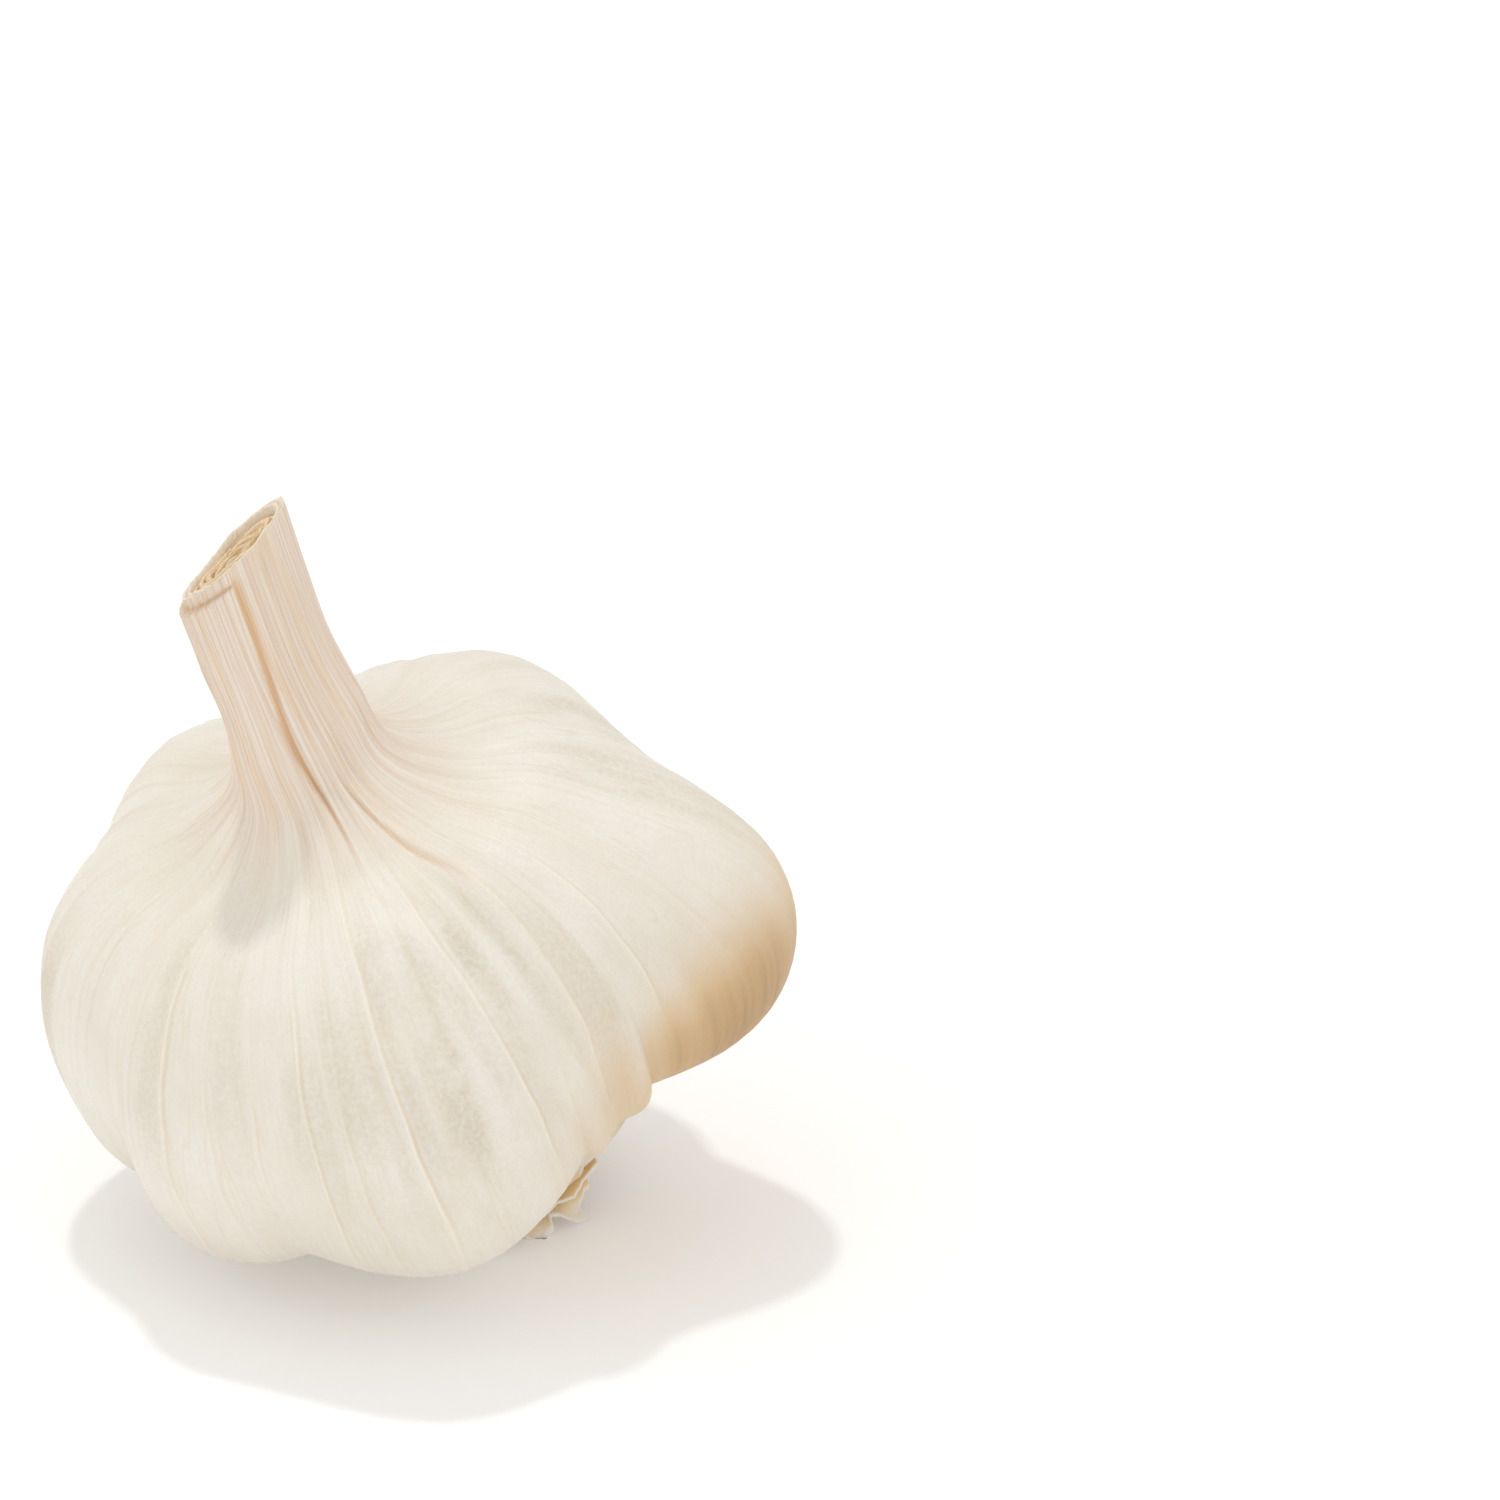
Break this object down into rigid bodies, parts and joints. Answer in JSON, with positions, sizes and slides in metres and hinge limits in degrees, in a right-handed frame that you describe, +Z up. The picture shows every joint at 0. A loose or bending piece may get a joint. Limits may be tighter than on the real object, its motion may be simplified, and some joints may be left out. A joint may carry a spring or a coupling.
{
  "type": "garlic bulb",
  "caption": "Whole garlic bulb in white papery skin with a short cut stem, lying tilted on its lower cloves.",
  "frame": {"origin": "centre of the bounding box in plan, on the surface the bulb rests on", "axes": "+Z up, away from the resting surface; the viewer of the picture looks along +Y with +X to the right, and the stem leans towards -X and -Y"},
  "size_m": [0.0636, 0.0608, 0.0672],
  "materials": {
    "skin": "satin",
    "straw": "matte",
    "root": "matte"
  },
  "bodies": {
    "root": {"wrapped_bulb": "skin", "inner_sheaths": "straw", "root_plate": "root"}
  },
  "joints": []
}
